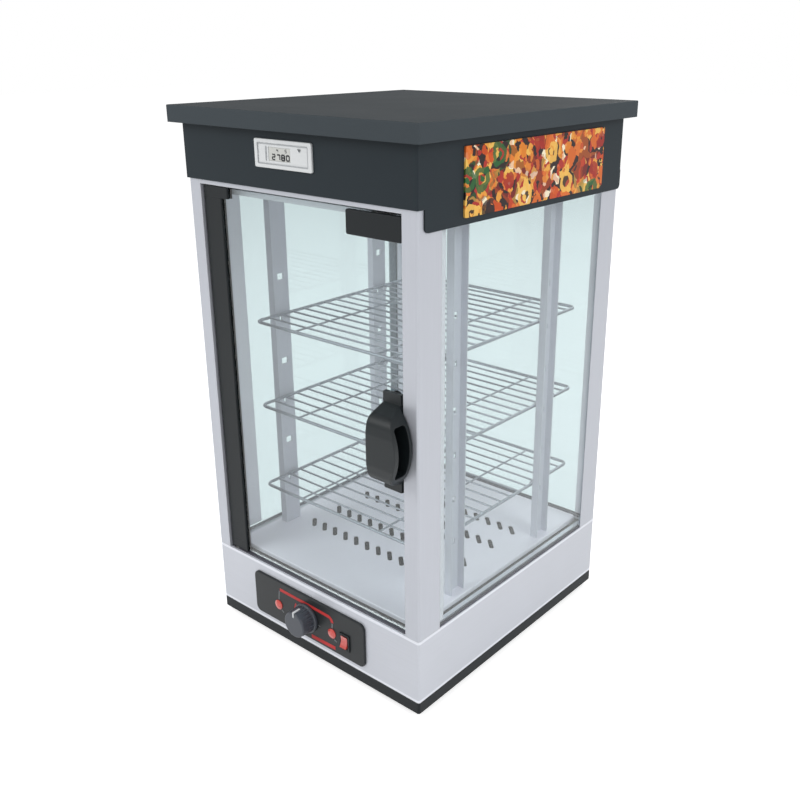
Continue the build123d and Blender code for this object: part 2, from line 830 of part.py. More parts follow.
def switch_rocker():
    """Red rocker with a shallow V face on two trunnions, at rest with its lower half pressed."""
    w = switch_width - 4 - 2 * rocker_gap
    h = switch_height - 4 - 2 * rocker_gap - 1.2
    axis_y = rocker_axis_y()
    y0 = panel_front_y - 3.6
    a = h / 2
    profile = make_face([
        ThreePointArc((y0, a), (y0 + 1.6, 0), (y0, -a)),
        Line((y0, -a), (axis_y, -a + 1.5)),
        ThreePointArc((axis_y, -a + 1.5), (axis_y + a - 3, 0), (axis_y, a - 1.5)),
        Line((axis_y, a - 1.5), (y0, a))])
    rocker = Pos(switch_x - w / 2, 0, switch_z) * extrude(Plane.YZ * profile, w)
    pin = rod((switch_x - switch_width / 2 + 1.2, axis_y, switch_z),
              (switch_x + switch_width / 2 - 1.2, axis_y, switch_z), 1.0)
    rocker += pin
    return rocker.rotate(Axis((switch_x, axis_y, switch_z), (1, 0, 0)), -rocker_tilt)


# Heating, wiring and inlet inside the base

def heater_element():
    """Sheathed heating tube folded into four legs, both cold ends at the rear."""
    pitch = 2 * element_bend
    x0 = -(element_legs - 1) * pitch / 2
    near, far = -half_d + 70, half_d - 70
    lines = []
    for k in range(element_legs):
        x = x0 + k * pitch
        up = k % 2 == 0
        ya, yb = (far, near) if up else (near, far)
        if k == 0:
            ya += cold_end
        if k == element_legs - 1:
            yb += cold_end
        lines.append(Line((x, ya, element_z), (x, yb, element_z)))
        if k < element_legs - 1:
            bulge = -element_bend if up else element_bend
            lines.append(ThreePointArc((x, yb, element_z), (x + element_bend, yb + bulge, element_z),
                                       (x + pitch, yb, element_z)))
    path = Wire(lines)
    start = Plane(origin=path @ 0, z_dir=path % 0)
    return sweep(start * Circle(element_radius), path=path)


def heater_brackets():
    """Saddle strips that carry the heating tube on the reflector."""
    span = (element_legs - 1) * 2 * element_bend + 40
    strips = []
    for y in (-60.0, 60.0):
        strip = block(-span / 2, span / 2, y - 5, y + 5, shield_z + sheet, element_z)
        pitch = 2 * element_bend
        for k in range(element_legs):
            x = -(element_legs - 1) * pitch / 2 + k * pitch
            strip -= rod((x, y - 6, element_z), (x, y + 6, element_z), element_radius)
        strips.append(strip)
    return strips


def heat_shield():
    """Bright reflector under the heating tube, folded up at its edges."""
    width = cabinet_width - 2 * base_flange - 2
    near, far = -half_d + 38, half_d - 38
    tray = block(-width / 2, width / 2, near, far, shield_z, base_top - sheet)
    tray -= block(-width / 2 + sheet, width / 2 - sheet, near + sheet, far - sheet,
                  shield_z + sheet, base_top)
    lips = []
    for sx in (-1, 1):
        xa, xb = sx * width / 2, sx * (half_w - sheet)
        lips.append(block(min(xa, xb), max(xa, xb), near, far, base_top - 2 * sheet, base_top - sheet))
    outer_leg = (element_legs - 1) * element_bend
    ends = [rod((x, far - 3, element_z), (x, far + 3, element_z), element_radius) for x in (-outer_leg, outer_leg)]
    return tray + lips - ends


def terminal_block():
    """Ceramic three-way connector on the plinth tray."""
    z = plinth_z + 4
    body = block(60, 105, half_d - 60, half_d - 38, z, z + 16)
    for k in range(3):
        x = 68 + k * 14.5
        body -= rod((x, half_d - 49, z + 8), (x, half_d - 49, z + 18), 2.5)
        body -= rod((x, half_d - 62, z + 6), (x, half_d - 36, z + 6), 1.8)
    return body


def cable_gland():
    """Screwed gland at the rear of the base, with a hexagon and a domed cap."""
    y = half_d
    hexagon = Plane(origin=(gland_x, y, gland_z), x_dir=(1, 0, 0), z_dir=(0, 1, 0)) * RegularPolygon(11, 6)
    body = extrude(hexagon, 5)
    body += rod((gland_x, y - 10, gland_z), (gland_x, y, gland_z), gland_radius)
    cap = rod((gland_x, y + 5, gland_z), (gland_x, y + 13, gland_z), 8.5)
    cap = fillet(cap.edges().group_by(Axis.Y)[-1], 2.5)
    bore = rod((gland_x, y - 11, gland_z), (gland_x, y + 14, gland_z), 3.8)
    return body + cap - bore


def gland_locknut():
    y = half_d - sheet
    hexagon = Plane(origin=(gland_x, y, gland_z), x_dir=(1, 0, 0), z_dir=(0, -1, 0)) * RegularPolygon(11, 6)
    nut = extrude(hexagon, 4)
    return nut - rod((gland_x, y - 6, gland_z), (gland_x, y + 1, gland_z), gland_radius)


# Head with its light box and thermometer

def head_shell():
    """Dark head casing; its side walls hang lower than its front and back."""
    w, d = head_half_w, head_half_d
    t = head_sheet
    box = block(-w, w, -d, d, head_z, cap_z)
    box = fillet(box.edges().filter_by(Axis.Z), 1.5)
    box -= block(-w + t, w - t, -d + t, d - t, head_z - 1, cap_z + 1)
    skirts = []
    for sx in (-1, 1):
        outline = Plane.YZ * Pos(skirt_setback / 2, (skirt_z + head_z) / 2 + 6) * \
            RectangleRounded(2 * d - skirt_setback, skirt_drop + 12, 5.5)
        skirt = extrude(outline, t)
        skirt = Pos(w - t if sx > 0 else -w, 0, 0) * skirt
        skirts.append(skirt & block(-w, w, -d, d, skirt_z - 1, head_z))
    for skirt in skirts:
        box += skirt
    x0, x1 = w - t - 1, w + 1
    py, pz = picture_y, picture_z
    box -= block(x0, x1, py - picture_width / 2 + picture_lap, py + picture_width / 2 - picture_lap,
                 max(pz - picture_height / 2 + picture_lap, head_z + 4), pz + picture_height / 2 - picture_lap)
    box -= facing_front(Rectangle(thermometer_width - 8, thermometer_height - 8), thermometer_x,
                        thermometer_z, -d - 1, t + 2)
    return box


def cap_lid():
    """Flat cap with a turned-down edge, larger than the head all round."""
    w, d = cabinet_width + 2 * cap_overhang, cabinet_depth + 2 * cap_overhang
    outer = slab(w, d, cap_z, cap_height, 2.0)
    outer = fillet(outer.edges().group_by(Axis.Z)[-1], 1.2)
    hollow = slab(w - 2 * head_sheet, d - 2 * head_sheet, cap_z, cap_height - head_sheet, 1.0)
    seat = block(-head_half_w, head_half_w, -head_half_d, head_half_d, cap_z, cap_z + cap_height - head_sheet)
    seat -= block(-head_half_w + 14, head_half_w - 14, -head_half_d + 14, head_half_d - 14,
                  cap_z - 1, cap_z + cap_height)
    web = slab(w - 2, d - 2, cap_z, head_sheet, 1.0) - \
        block(-head_half_w + 14, head_half_w - 14, -head_half_d + 14, head_half_d - 14, cap_z - 1, cap_z + 4)
    return outer - hollow + web


def ceiling_panel():
    """Stainless ceiling with a window over the shelves for the head lamp."""
    x = pane_outer_x - side_glass - 2 * pane_gap
    lip_x = half_w - post_front_flange
    y0 = -half_d + front_rail_depth + 0.5
    y1 = rear_pane_inner_y - 2 * pane_gap
    plate = block(-x, x, y0, y1, ceiling_z, ceiling_z + sheet)
    lip = block(-lip_x, lip_x, y0, y0 + sheet, ceiling_z - ceiling_lip, ceiling_z)
    catch_x = door_half - block_width / 2
    reach = block_width / 6 + lip_clearance
    lip -= block(catch_x - reach, catch_x + reach, y0 - 1, y0 + sheet + 1, ceiling_z - ceiling_lip - 1, ceiling_z - sheet)
    for row in (-90.0, -60.0, 60.0, 90.0):
        for k in range(6):
            plate -= Pos(-75 + 30 * k, row, ceiling_z - 1) * extrude(SlotOverall(22, 5), 5)
    probe = rod((thermometer_x, probe_y(), ceiling_z - 1), (thermometer_x, probe_y(), ceiling_z + 3), probe_radius)
    return plate + lip - probe


def picture_panel():
    """Translucent display panel on the right side of the head."""
    x = head_half_w
    y0, y1 = picture_y - picture_width / 2, picture_y + picture_width / 2
    z0, z1 = picture_z - picture_height / 2, picture_z + picture_height / 2
    panel = block(x, x + picture_thick, y0, y1, z0, z1)
    return fillet(panel.edges().filter_by(Axis.X), 2)


def lamp_ends():
    """Front and rear end of the tube's glass, centred behind the display panel."""
    return picture_y - lamp_tube_length / 2, picture_y + lamp_tube_length / 2


def head_lamp():
    """Light tube across the head, behind the display panel, with a cap at each end."""
    x, z = half_w - lamp_tube_inset, head_z + lamp_tube_rise
    y0, y1 = lamp_ends()
    tube = rod((x, y0, z), (x, y1, z), lamp_tube_radius)
    for y in (y0 - lamp_cap_length, y1):
        tube += rod((x, y, z), (x, y + lamp_cap_length, z), lamp_tube_radius + 0.8)
    return tube


def lamp_holders():
    """Two blocks on the ceiling that grip the tube's caps end to end."""
    x, half = half_w - lamp_tube_inset, lamp_holder_width / 2
    y0, y1 = lamp_ends()
    places = (y0 - lamp_cap_length - lamp_holder_thick, y1 + lamp_cap_length)
    return [block(x - half, x + half, y, y + lamp_holder_thick, ceiling_z + sheet, head_z + lamp_holder_height)
            for y in places]


def thermometer_case():
    """White panel thermometer: framed bezel in front, box behind the head's wall."""
    front = -head_half_d
    bezel = facing_front(RectangleRounded(thermometer_width, thermometer_height, 2.0),
                         thermometer_x, thermometer_z, front - 2.5, 2.5)
    bezel = fillet(bezel.edges().group_by(Axis.Y)[0], 0.8)
    recess = facing_front(RectangleRounded(thermometer_width - 10, thermometer_height - 8, 1.5),
                          thermometer_x, thermometer_z, front - 3, 1.2)
    body = facing_front(Rectangle(thermometer_width - 8.6, thermometer_height - 8.6),
                        thermometer_x, thermometer_z, front, thermometer_depth)
    window = facing_front(Rectangle(lcd_width, lcd_height), thermometer_x + lcd_offset_x,
                          thermometer_z, front - 3, 4)
    return bezel + body - recess - window


def thermometer_display():
    """LCD pane that fills the thermometer's window."""
    return facing_front(Rectangle(lcd_width, lcd_height), thermometer_x + lcd_offset_x,
                        thermometer_z, -head_half_d - 1.3, 2.3)


def probe_y():
    return -half_d + probe_setback


def thermometer_probe():
    """Short sensor tube through the ceiling, on its grommet."""
    x, y = thermometer_x, probe_y()
    tip = rod((x, y, ceiling_z - 22), (x, y, ceiling_z + 16), probe_radius)
    ring = rod((x, y, ceiling_z + sheet), (x, y, ceiling_z + sheet + 3), 5.0)
    return tip + ring


def skirt_screw_places():
    return [(sx * (half_w - 10), z) for sx in (-1, 1) for z in (base_z + 14, base_top - 14)]


def skirt_screws():
    """Pan-head screws that fasten the base skirt to the posts' feet, at the back."""
    return [screw(x, half_d, z, (0, 1, 0), 6) for x, z in skirt_screw_places()]


nodes = {}


def add(name, shape):
    nodes[name] = shape


add("rubber_feet", feet())
add("plinth_tray", plinth_tray())
add("base_shell", base_shell())
add("floor_plate", floor_plate())
add("heater_element", heater_element())
add("heater_brackets", heater_brackets())
add("heat_shield", heat_shield())
add("terminal_block", terminal_block())
add("cable_gland", cable_gland())
add("gland_locknut", gland_locknut())
add("control_panel", control_panel())
add("thermostat_body", thermostat_body())
add("thermostat_shaft", thermostat_shaft())
add("thermostat_knob", thermostat_knob())
add("lamp_lenses", lamp_lenses())
add("lamp_bodies", lamp_bodies())
add("switch_housing", switch_housing())
add("switch_rocker", switch_rocker())
for side, sx in (("left", -1), ("right", 1)):
    for end, sy in (("front", -1), ("rear", 1)):
        add(f"corner_post_{end}_{side}", post(sx, sy))
        carrier_y = upright_front_y if sy < 0 else upright_rear_y
        add(f"shelf_upright_{end}_{side}", upright(sx, carrier_y))
    add(f"side_glass_{side}", side_pane(sx))
add("rear_glass", rear_pane())
add("glass_seals", glass_seals())
add("glazing_beads", glazing_beads())
add("front_rail", front_rail())
add("door_sill", door_sill())
add("shelf_hooks", shelf_hooks())
for name, level in zip(("bottom", "middle", "top"), shelf_levels()):
    add(f"wire_shelf_{name}", wire_shelf(level))
add("head_shell", head_shell())
add("cap_lid", cap_lid())
add("ceiling_panel", ceiling_panel())
add("picture_panel", picture_panel())
add("head_lamp", head_lamp())
add("lamp_holders", lamp_holders())
add("thermometer_case", thermometer_case())
add("thermometer_display", thermometer_display())
add("thermometer_probe", thermometer_probe())
add("case_screws", foot_screws() + skirt_screws())
add("door_glass", door_glass())
add("door_stile", door_stile())
add("hinge_arm_top", hinge_arm(True))
add("hinge_arm_bottom", hinge_arm(False))
add("hinge_pins", hinge_pins())
add("hinge_bushes", hinge_bushes())
add("corner_block", corner_block())
add("catch_keeper", catch_keeper())
add("magnet_catch", magnet_catch())
add("door_handle", door_handle())
add("handle_pads", handle_backing())
add("door_screws", block_screws() + handle_screws())

os.makedirs("parts", exist_ok=True)
for name, shape in nodes.items():
    pieces = shape if isinstance(shape, list) else [shape]
    placed = [Pos(0, front_shift, 0) * piece for piece in pieces]
    export_step(placed[0] if len(placed) == 1 else Compound(children=placed), f"parts/{name}.step")
print(len(nodes), "nodes, shift", round(front_shift, 3))
print("hinge axis", hinge_x, round(door_mid_y + front_shift, 3))
print("knob axis", knob_centre())
print("rocker axis", round(rocker_axis_y() + front_shift, 3), switch_z)
print("shelf wires at", [shelf_axis_z(i) for i in shelf_levels()])
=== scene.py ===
"""Looks for a countertop electric food warmer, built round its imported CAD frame.

Metres, +Z up, the door faces -Y.  The script runs from top to bottom: the picture's
camera, light and floor first, then one section for each piece or group of like pieces.
"""
import math

import bpy
import numpy as np
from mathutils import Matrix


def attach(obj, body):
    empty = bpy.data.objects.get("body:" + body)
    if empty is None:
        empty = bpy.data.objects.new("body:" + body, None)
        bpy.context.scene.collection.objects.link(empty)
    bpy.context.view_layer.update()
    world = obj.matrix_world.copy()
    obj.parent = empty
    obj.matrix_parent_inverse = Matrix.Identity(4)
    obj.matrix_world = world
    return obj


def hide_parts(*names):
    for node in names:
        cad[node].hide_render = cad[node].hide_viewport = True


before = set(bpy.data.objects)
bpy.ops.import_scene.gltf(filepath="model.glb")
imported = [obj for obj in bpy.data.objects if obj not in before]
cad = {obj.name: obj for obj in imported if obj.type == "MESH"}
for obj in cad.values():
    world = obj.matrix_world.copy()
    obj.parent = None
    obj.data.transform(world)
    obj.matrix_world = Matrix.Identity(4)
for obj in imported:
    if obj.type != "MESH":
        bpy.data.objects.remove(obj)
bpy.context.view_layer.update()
MM = 0.001

# Camera.  It stands to the front right of the cabinet and a little above it, level
# from side to side, with the small sensor shift that the picture's crop has.
camera_data = bpy.data.cameras.new("picture_camera")
camera = bpy.data.objects.new("picture_camera", camera_data)
bpy.context.scene.collection.objects.link(camera)
camera_data.sensor_width = 36.0
camera_data.lens = 42.03
camera_data.shift_x = -0.0329
camera_data.shift_y = -0.0210
camera_data.clip_start = 0.01
camera_data.clip_end = 60.0
camera_pitch, camera_turn = -20.386, 40.0585
camera.location = (0.7464, -0.8489, 0.7429)
camera.rotation_euler = (math.radians(90.0 + camera_pitch), 0.0, math.radians(camera_turn))
bpy.context.scene.camera = camera
bpy.context.scene.view_settings.view_transform = "Standard"

# Light.  Two large soft boxes in front and at the side and a weak one behind, in an
# even pale room.  Camera and glass rays see the room as white, mirror rays nearly so.


def feed(tree, spot, value):
    """Links a socket to an input, or sets the input to a constant."""
    if isinstance(value, bpy.types.NodeSocket):
        tree.links.new(value, spot)
    else:
        spot.default_value = value


def maths(tree, operation, *values, clamp=False):
    """A Math node's output, from numbers and sockets."""
    node = tree.nodes.new("ShaderNodeMath")
    node.operation = operation
    node.use_clamp = clamp
    for spot, value in zip(node.inputs, values):
        feed(tree, spot, value)
    return node.outputs[0]


def spread(tree, value, low, high, to_low=0.0, to_high=1.0):
    """value's range low to high, mapped to to_low to to_high and held there."""
    node = tree.nodes.new("ShaderNodeMapRange")
    for name, given in (("Value", value), ("From Min", low), ("From Max", high),
                        ("To Min", to_low), ("To Max", to_high)):
        feed(tree, node.inputs[name], given)
    return node.outputs["Result"]


room_light = 0.50
mirror_share = 0.6
world = bpy.data.worlds.new("pale_room")
bpy.context.scene.world = world
world.use_nodes = True
tree = world.node_tree
tree.nodes.clear()
world_out = tree.nodes.new("ShaderNodeOutputWorld")
world_light = tree.nodes.new("ShaderNodeBackground")
world_light.inputs["Color"].default_value = (1, 1, 1, 1)
path = tree.nodes.new("ShaderNodeLightPath")
straight = maths(tree, "MAXIMUM", path.outputs["Is Camera Ray"],
                 path.outputs["Is Transmission Ray"])
mirrored = maths(tree, "MULTIPLY", path.outputs["Is Glossy Ray"], mirror_share)
seen = maths(tree, "MAXIMUM", straight, mirrored)
feed(tree, world_light.inputs["Strength"], spread(tree, seen, 0.0, 1.0, room_light, 1.0))
tree.links.new(world_light.outputs["Background"], world_out.inputs["Surface"])
lit_point = (0.0, 0.0, 0.35)


def soft_box(name, place, size, watts):
    """A square area lamp at place, turned so that it shines on the cabinet's middle."""
    data = bpy.data.lights.new(name, "AREA")
    data.shape = "SQUARE"
    data.size = size
    data.energy = watts
    lamp = bpy.data.objects.new(name, data)
    bpy.context.scene.collection.objects.link(lamp)
    away = np.array(place) - np.array(lit_point)
    lamp.location = place
    flat = math.hypot(away[0], away[1])
    lamp.rotation_euler = (math.atan2(flat, away[2]), 0.0, math.atan2(away[0], -away[1]))
    return lamp


soft_box("key_box", (-1.1, -2.2, 2.0), 1.4, 30.0)
soft_box("side_box", (2.4, -0.2, 1.7), 1.4, 26.0)
rear_box = soft_box("rear_box", (-0.4, 2.4, 1.9), 1.2, 14.0)
rear_box.data.specular_factor = 0.0

# Floor.  A plain white sheet under the cabinet that keeps its soft shadow.  It glows
# a little for what looks at it, so that it is as white as the room behind it.
floor_half = 12.0
floor_glow = 0.62
floor_mesh = bpy.data.meshes.new("floor")
floor_mesh.from_pydata(
    [(-floor_half, -floor_half, 0), (floor_half, -floor_half, 0),
     (floor_half, floor_half, 0), (-floor_half, floor_half, 0)],
    [], [(0, 1, 2, 3)])
floor = bpy.data.objects.new("floor", floor_mesh)
bpy.context.scene.collection.objects.link(floor)
floor_paint = bpy.data.materials.new("white_floor")
floor_paint.use_nodes = True
tree = floor_paint.node_tree
shader = tree.nodes["Principled BSDF"]
shader.inputs["Base Color"].default_value = (0.86, 0.86, 0.86, 1)
shader.inputs["Roughness"].default_value = 0.9
shader.inputs["Specular IOR Level"].default_value = 0.0
shader.inputs["Emission Color"].default_value = (1, 1, 1, 1)
path = tree.nodes.new("ShaderNodeLightPath")
seen = maths(tree, "MAXIMUM", path.outputs["Is Camera Ray"],
             path.outputs["Is Transmission Ray"])
seen = maths(tree, "MAXIMUM", seen, path.outputs["Is Glossy Ray"])
feed(tree, shader.inputs["Emission Strength"], maths(tree, "MULTIPLY", seen, floor_glow))
floor_mesh.materials.append(floor_paint)

# Outer sheet metal.  The base shell is one folded sheet of satin stainless steel,
# and four bent angles of the same sheet stand on it as posts, with the front rail
# between them.  Edges are rubbed a little brighter, and along the base's top and
# bottom bends a pale band is painted on as a painted highlight.


def socket(group, where, kind, name, value=None):
    """Adds one named socket to a node group."""
    made = group.interface.new_socket(name=name, in_out=where, socket_type=kind)
    if value is not None:
        made.default_value = value


def new_group(name):
    """(node group, its input node, its output node)."""
    group = bpy.data.node_groups.new(name, "ShaderNodeTree")
    return group, group.nodes.new("NodeGroupInput"), group.nodes.new("NodeGroupOutput")


def object_place(tree):
    """The point's Object coordinates."""
    return tree.nodes.new("ShaderNodeTexCoord").outputs["Object"]


def upward_part(tree, vector):
    """The Z component of a vector socket."""
    split = tree.nodes.new("ShaderNodeSeparateXYZ")
    tree.links.new(vector, split.inputs[0])
    return split.outputs["Z"]


def noise(tree, vector, scale, detail=2.0):
    """A Noise Texture node that reads a vector socket."""
    made = tree.nodes.new("ShaderNodeTexNoise")
    made.inputs["Scale"].default_value = scale
    made.inputs["Detail"].default_value = detail
    tree.links.new(vector, made.inputs["Vector"])
    return made


def vector_maths(tree, operation, first, second):
    """A Vector Math node on two sockets."""
    node = tree.nodes.new("ShaderNodeVectorMath")
    node.operation = operation
    tree.links.new(first, node.inputs[0])
    tree.links.new(second, node.inputs["Scale"] if operation == "SCALE" else node.inputs[1])
    return node


def brushed_group():
    """Fine lines along one axis plus slow cloudiness.

    Two noises are read on Object coordinates, the first of them squeezed along the
    brushing: it gives the lines, and the second the broad uneven patches.  The colour
    is the sheet's own times 1 + lines + clouds, and roughness follows the same sum.
    """
    line_scale, line_detail, cloud_scale, cloud_detail = 900.0, 3.0, 9.0, 4.0
    group, given, out = new_group("brushed_sheet")
    socket(group, "INPUT", "NodeSocketColor", "Color", (0.6, 0.6, 0.62, 1))
    socket(group, "INPUT", "NodeSocketVector", "Stretch", (1, 1, 1))
    socket(group, "INPUT", "NodeSocketFloat", "Line Strength", 0.06)
    socket(group, "INPUT", "NodeSocketFloat", "Cloud Strength", 0.05)
    socket(group, "INPUT", "NodeSocketFloat", "Roughness", 0.35)
    socket(group, "OUTPUT", "NodeSocketColor", "Color")
    socket(group, "OUTPUT", "NodeSocketFloat", "Roughness")
    socket(group, "OUTPUT", "NodeSocketFloat", "Height")
    place = object_place(group)
    squeeze = vector_maths(group, "MULTIPLY", place, given.outputs["Stretch"])
    lines = noise(group, squeeze.outputs[0], line_scale, line_detail).outputs["Fac"]
    cloud = noise(group, place, cloud_scale, cloud_detail).outputs["Fac"]
    line_part = maths(group, "MULTIPLY", maths(group, "SUBTRACT", lines, 0.5),
                      given.outputs["Line Strength"])
    cloud_part = maths(group, "MULTIPLY", maths(group, "SUBTRACT", cloud, 0.5),
                       given.outputs["Cloud Strength"])
    total = maths(group, "ADD", line_part, cloud_part)
    gain = maths(group, "ADD", total, 1.0)
    tint = vector_maths(group, "SCALE", given.outputs["Color"], gain)
    rough = maths(group, "ADD", given.outputs["Roughness"], total, clamp=True)
    group.links.new(tint.outputs[0], out.inputs["Color"])
    group.links.new(rough, out.inputs["Roughness"])
    group.links.new(lines, out.inputs["Height"])
    return group


def edge_group():
    """A mask of the outer edges, from how far a rounded normal leans off the face.

    The Bevel node gives the normal that a rounded edge would have.  Its dot product
    with the face's own normal falls off towards each edge, and a noise breaks the
    mask up.  Outputs the mask and the rounded normal.
    """
    flat_lean, edge_lean, patch_scale, patch_detail = 0.995, 0.86, 60.0, 3.0
    group, given, out = new_group("worn_edges")
    socket(group, "INPUT", "NodeSocketFloat", "Width", 0.0012)
    socket(group, "INPUT", "NodeSocketFloat", "Strength", 0.5)
    socket(group, "OUTPUT", "NodeSocketFloat", "Mask")
    socket(group, "OUTPUT", "NodeSocketVector", "Normal")
    rounded = group.nodes.new("ShaderNodeBevel")
    rounded.samples = 4
    group.links.new(given.outputs["Width"], rounded.inputs["Radius"])
    shape = group.nodes.new("ShaderNodeNewGeometry")
    lean = vector_maths(group, "DOT_PRODUCT", rounded.outputs[0], shape.outputs["Normal"])
    near_edge = spread(group, lean.outputs["Value"], flat_lean, edge_lean)
    patches = noise(group, object_place(group), patch_scale, patch_detail).outputs["Fac"]
    broken = maths(group, "MULTIPLY", near_edge, patches)
    mask = maths(group, "MULTIPLY", broken, given.outputs["Strength"], clamp=True)
    group.links.new(mask, out.inputs["Mask"])
    group.links.new(rounded.outputs[0], out.inputs["Normal"])
    return group


brushed_sheet = brushed_group()
worn_edges = edge_group()


def place_group(tree, group, **values):
    """Puts a node group in a material with its own input values."""
    node = tree.nodes.new("ShaderNodeGroup")
    node.node_tree = group
    for name, value in values.items():
        node.inputs[name.replace("_", " ")].default_value = value
    return node


def new_material(name):
    """(material, its tree, its Principled shader)."""
    made = bpy.data.materials.new(name)
    made.use_nodes = True
    return made, made.node_tree, made.node_tree.nodes["Principled BSDF"]


def mixed(tree, factor, first, second):
    """A colour Mix node's output: first where factor is 0, second where it is 1."""
    mix = tree.nodes.new("ShaderNodeMix")
    mix.data_type = "RGBA"
    for key, value in (("Factor", factor), ("A", first), ("B", second)):
        feed(tree, [spot for spot in mix.inputs if spot.name == key and spot.enabled][0], value)
    return [spot for spot in mix.outputs if spot.enabled][0]


def finished(name, color, rough, stretch, lines, cloud, edge, edge_width, edge_color,
             relief, relief_strength):
    """(material, shader) of a brushed or mottled surface with rounded, paler edges."""
    made, tree, shader = new_material(name)
    brushed = place_group(tree, brushed_sheet, Color=color, Stretch=stretch,
                          Line_Strength=lines, Cloud_Strength=cloud, Roughness=rough)
    edges = place_group(tree, worn_edges, Width=edge_width, Strength=edge)
    bump = tree.nodes.new("ShaderNodeBump")
    bump.inputs["Distance"].default_value = relief
    bump.inputs["Strength"].default_value = relief_strength
    tree.links.new(brushed.outputs["Height"], bump.inputs["Height"])
    tree.links.new(edges.outputs["Normal"], bump.inputs["Normal"])
    tree.links.new(mixed(tree, edges.outputs["Mask"], brushed.outputs["Color"], edge_color),
                   shader.inputs["Base Color"])
    tree.links.new(brushed.outputs["Roughness"], shader.inputs["Roughness"])
    tree.links.new(bump.outputs["Normal"], shader.inputs["Normal"])
    return made, shader


def sheet_metal(name, color, rough, stretch, metallic, lines=0.10, cloud=0.08,
                edge=0.7, edge_width=0.0014, edge_color=(0.93, 0.94, 0.96, 1)):
    """Metal, brushed along the axis in which stretch is small."""
    brush_depth, brush_strength = 0.00002, 1.0
    made, shader = finished(name, color, rough, stretch, lines, cloud, edge, edge_width,
                            edge_color, brush_depth, brush_strength)
    shader.inputs["Metallic"].default_value = metallic
    return made


def overpaint(material, mask, color):
    """Lays color over a finished material's own, where the mask socket is 1."""
    tree = material.node_tree
    spot = tree.nodes["Principled BSDF"].inputs["Base Color"]
    tree.links.new(mixed(tree, mask, spot.links[0].from_socket, color), spot)


def dress(material, *names):
    """Gives CAD nodes a finish, in every slot they have."""
    for name in names:
        piece = cad[name]
        if not piece.material_slots:
            piece.data.materials.append(material)
        for spot in piece.material_slots:
            spot.material = material


ALONG_Z = (1.0, 1.0, 0.02)
AROUND = (0.02, 0.02, 1.0)
base_steel = sheet_metal("satin_steel_base", (0.55, 0.57, 0.62, 1), 0.42, AROUND, 0.35)
post_steel = sheet_metal("satin_steel_posts", (0.50, 0.52, 0.57, 1), 0.42, ALONG_Z, 0.35)
# Painted highlight: a pale colour is laid over the base's steel above its top bend and below
# its bottom bend.
base_middle, highlight_band_start, highlight_band_end = 64.5 * MM, 37.5 * MM, 38.5 * MM
tree = base_steel.node_tree
from_middle = maths(tree, "ABSOLUTE", maths(
    tree, "SUBTRACT", upward_part(tree, object_place(tree)), base_middle))
overpaint(base_steel, spread(tree, from_middle, highlight_band_start, highlight_band_end), (0.76, 0.78, 0.84, 1))
dress(base_steel, "base_shell")
dress(post_steel, "corner_post_front_left", "corner_post_front_right",
      "corner_post_rear_left", "corner_post_rear_right", "front_rail")

# Inner sheet metal.  The punched shelf uprights with their hooks, the slotted floor
# plate and the ceiling panel are thin stainless sheet, screwed in, duller than the
# outside.  Their colour is painted lighter than the outside steel's, the floor plate's
# and the ceiling panel's most, as painted light against the shade behind the glass.
# A dark strip covers the base's rim under the door.
ALONG_X = (0.02, 1.0, 1.0)
ALONG_Y = (1.0, 0.02, 1.0)
# Painted light: these copies of the stainless steel are lighter than the outside's, the floor
# and ceiling lightest.
inner_steel = sheet_metal("satin_steel_inside", (0.66, 0.66, 0.73, 1), 0.46, ALONG_Z, 0.1)
floor_steel = sheet_metal("satin_steel_floor", (0.96, 0.92, 1.0, 1), 0.45, ALONG_Y, 0.1,
                          cloud=0.14)
ceiling_steel = sheet_metal("satin_steel_ceiling", (0.90, 0.90, 0.95, 1), 0.46, ALONG_X, 0.1)
sill_steel = sheet_metal("sill_steel", (0.09, 0.09, 0.11, 1), 0.5, ALONG_X, 0.2,
                         edge_color=(0.2, 0.2, 0.22, 1))
dress(inner_steel, "shelf_upright_front_left", "shelf_upright_front_right",
      "shelf_upright_rear_left", "shelf_upright_rear_right", "shelf_hooks",
      "lamp_holders")
dress(floor_steel, "floor_plate")
dress(ceiling_steel, "ceiling_panel")
dress(sill_steel, "door_sill")

# Screws and small turned parts.  They are zinc or nickel plated steel, slightly
# mottled, with only the finest edges rubbed bright.
NO_GRAIN = (1.0, 1.0, 1.0)
plated = sheet_metal("plated_screws", (0.55, 0.55, 0.56, 1), 0.32, NO_GRAIN, 0.9,
                     lines=0.2, cloud=0.2, edge=0.4, edge_width=0.0004)
dress(plated, "case_screws", "door_screws", "hinge_pins", "catch_keeper",
      "thermostat_shaft", "thermometer_probe")

# Wire shelves.  Each is a frame of round steel rod with thinner rods welded across,
# chrome plated all over, and it lies loose on its four hooks.
chrome = sheet_metal("chrome_wire", (0.36, 0.37, 0.41, 1), 0.30, NO_GRAIN, 0.6,
                     lines=0.15, cloud=0.25, edge=0.0, edge_width=0.0003)
dress(chrome, "wire_shelf_bottom", "wire_shelf_middle", "wire_shelf_top")

# Head and cap.  Both are folded steel sheet with a dark grey powder coat, which has a
# faint orange peel.  The cap's top carries painted shade: it is painted darker than its rim.


def coated(name, color, rough, grain=0.04, edge=0.5, edge_color=(0.16, 0.17, 0.18, 1),
           coat=0.0, specular=0.5):
    """Powder coat, ink or moulded plastic: mottled, finely textured, paler edges."""
    cloud_share, edge_width, peel_depth, peel_strength = 2.0, 0.0012, 0.00006, 0.5
    made, shader = finished(name, color, rough, NO_GRAIN, grain, grain * cloud_share, edge,
                            edge_width, edge_color, peel_depth, peel_strength)
    shader.inputs["Coat Weight"].default_value = coat
    shader.inputs["Specular IOR Level"].default_value = specular
    return made


